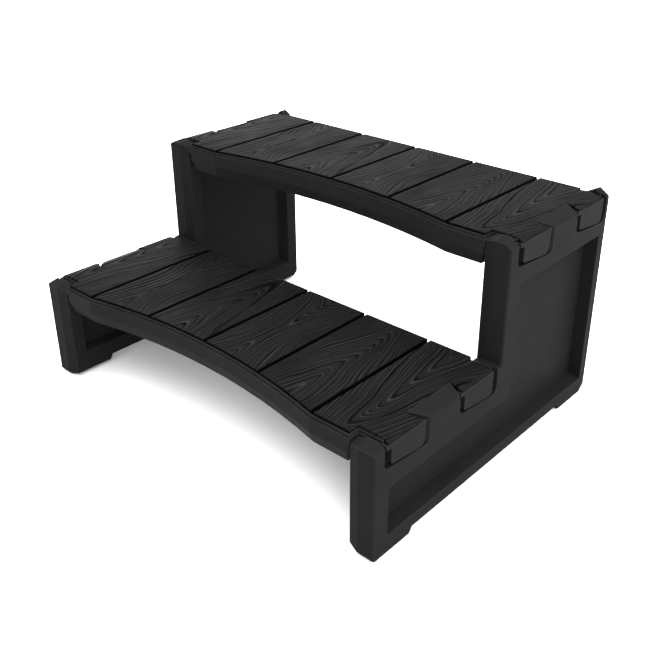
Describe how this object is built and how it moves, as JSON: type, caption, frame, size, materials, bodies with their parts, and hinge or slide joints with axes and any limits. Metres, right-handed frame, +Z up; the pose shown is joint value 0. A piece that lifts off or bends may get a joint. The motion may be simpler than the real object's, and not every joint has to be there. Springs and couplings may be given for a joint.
{
  "type": "spa steps",
  "caption": "Free-standing spa steps of black moulded resin: L-shaped side panels carry two wood-grained plank treads with bowed-in fronts, hooked over the panels.",
  "frame": {"origin": "on the ground, under the middle of the steps' bounding box", "axes": "+X along the treads, -Y the side people climb from, +Y towards the spa, +Z up"},
  "size_m": [0.813, 0.63, 0.4067],
  "materials": {
    "panel_resin": "black moulded resin, fine texture, satin sheen",
    "tray_resin": "black moulded resin, smooth satin",
    "board_resin": "black moulded resin embossed with wood grain",
    "screw_steel": "zinc-plated steel"
  },
  "bodies": {
    "root": {"side_panel_left": "panel_resin", "side_panel_right": "panel_resin", "tray_lower": "tray_resin", "board_lower_1": "board_resin", "board_lower_2": "board_resin", "board_lower_3": "board_resin", "board_lower_4": "board_resin", "board_lower_5": "board_resin", "board_lower_6": "board_resin", "screw_lower_left_1": "screw_steel", "screw_lower_left_2": "screw_steel", "screw_lower_right_1": "screw_steel", "screw_lower_right_2": "screw_steel", "tray_upper": "tray_resin", "board_upper_1": "board_resin", "board_upper_2": "board_resin", "board_upper_3": "board_resin", "board_upper_4": "board_resin", "board_upper_5": "board_resin", "board_upper_6": "board_resin", "screw_upper_left_1": "screw_steel", "screw_upper_left_2": "screw_steel", "screw_upper_right_1": "screw_steel", "screw_upper_right_2": "screw_steel"}
  },
  "joints": []
}
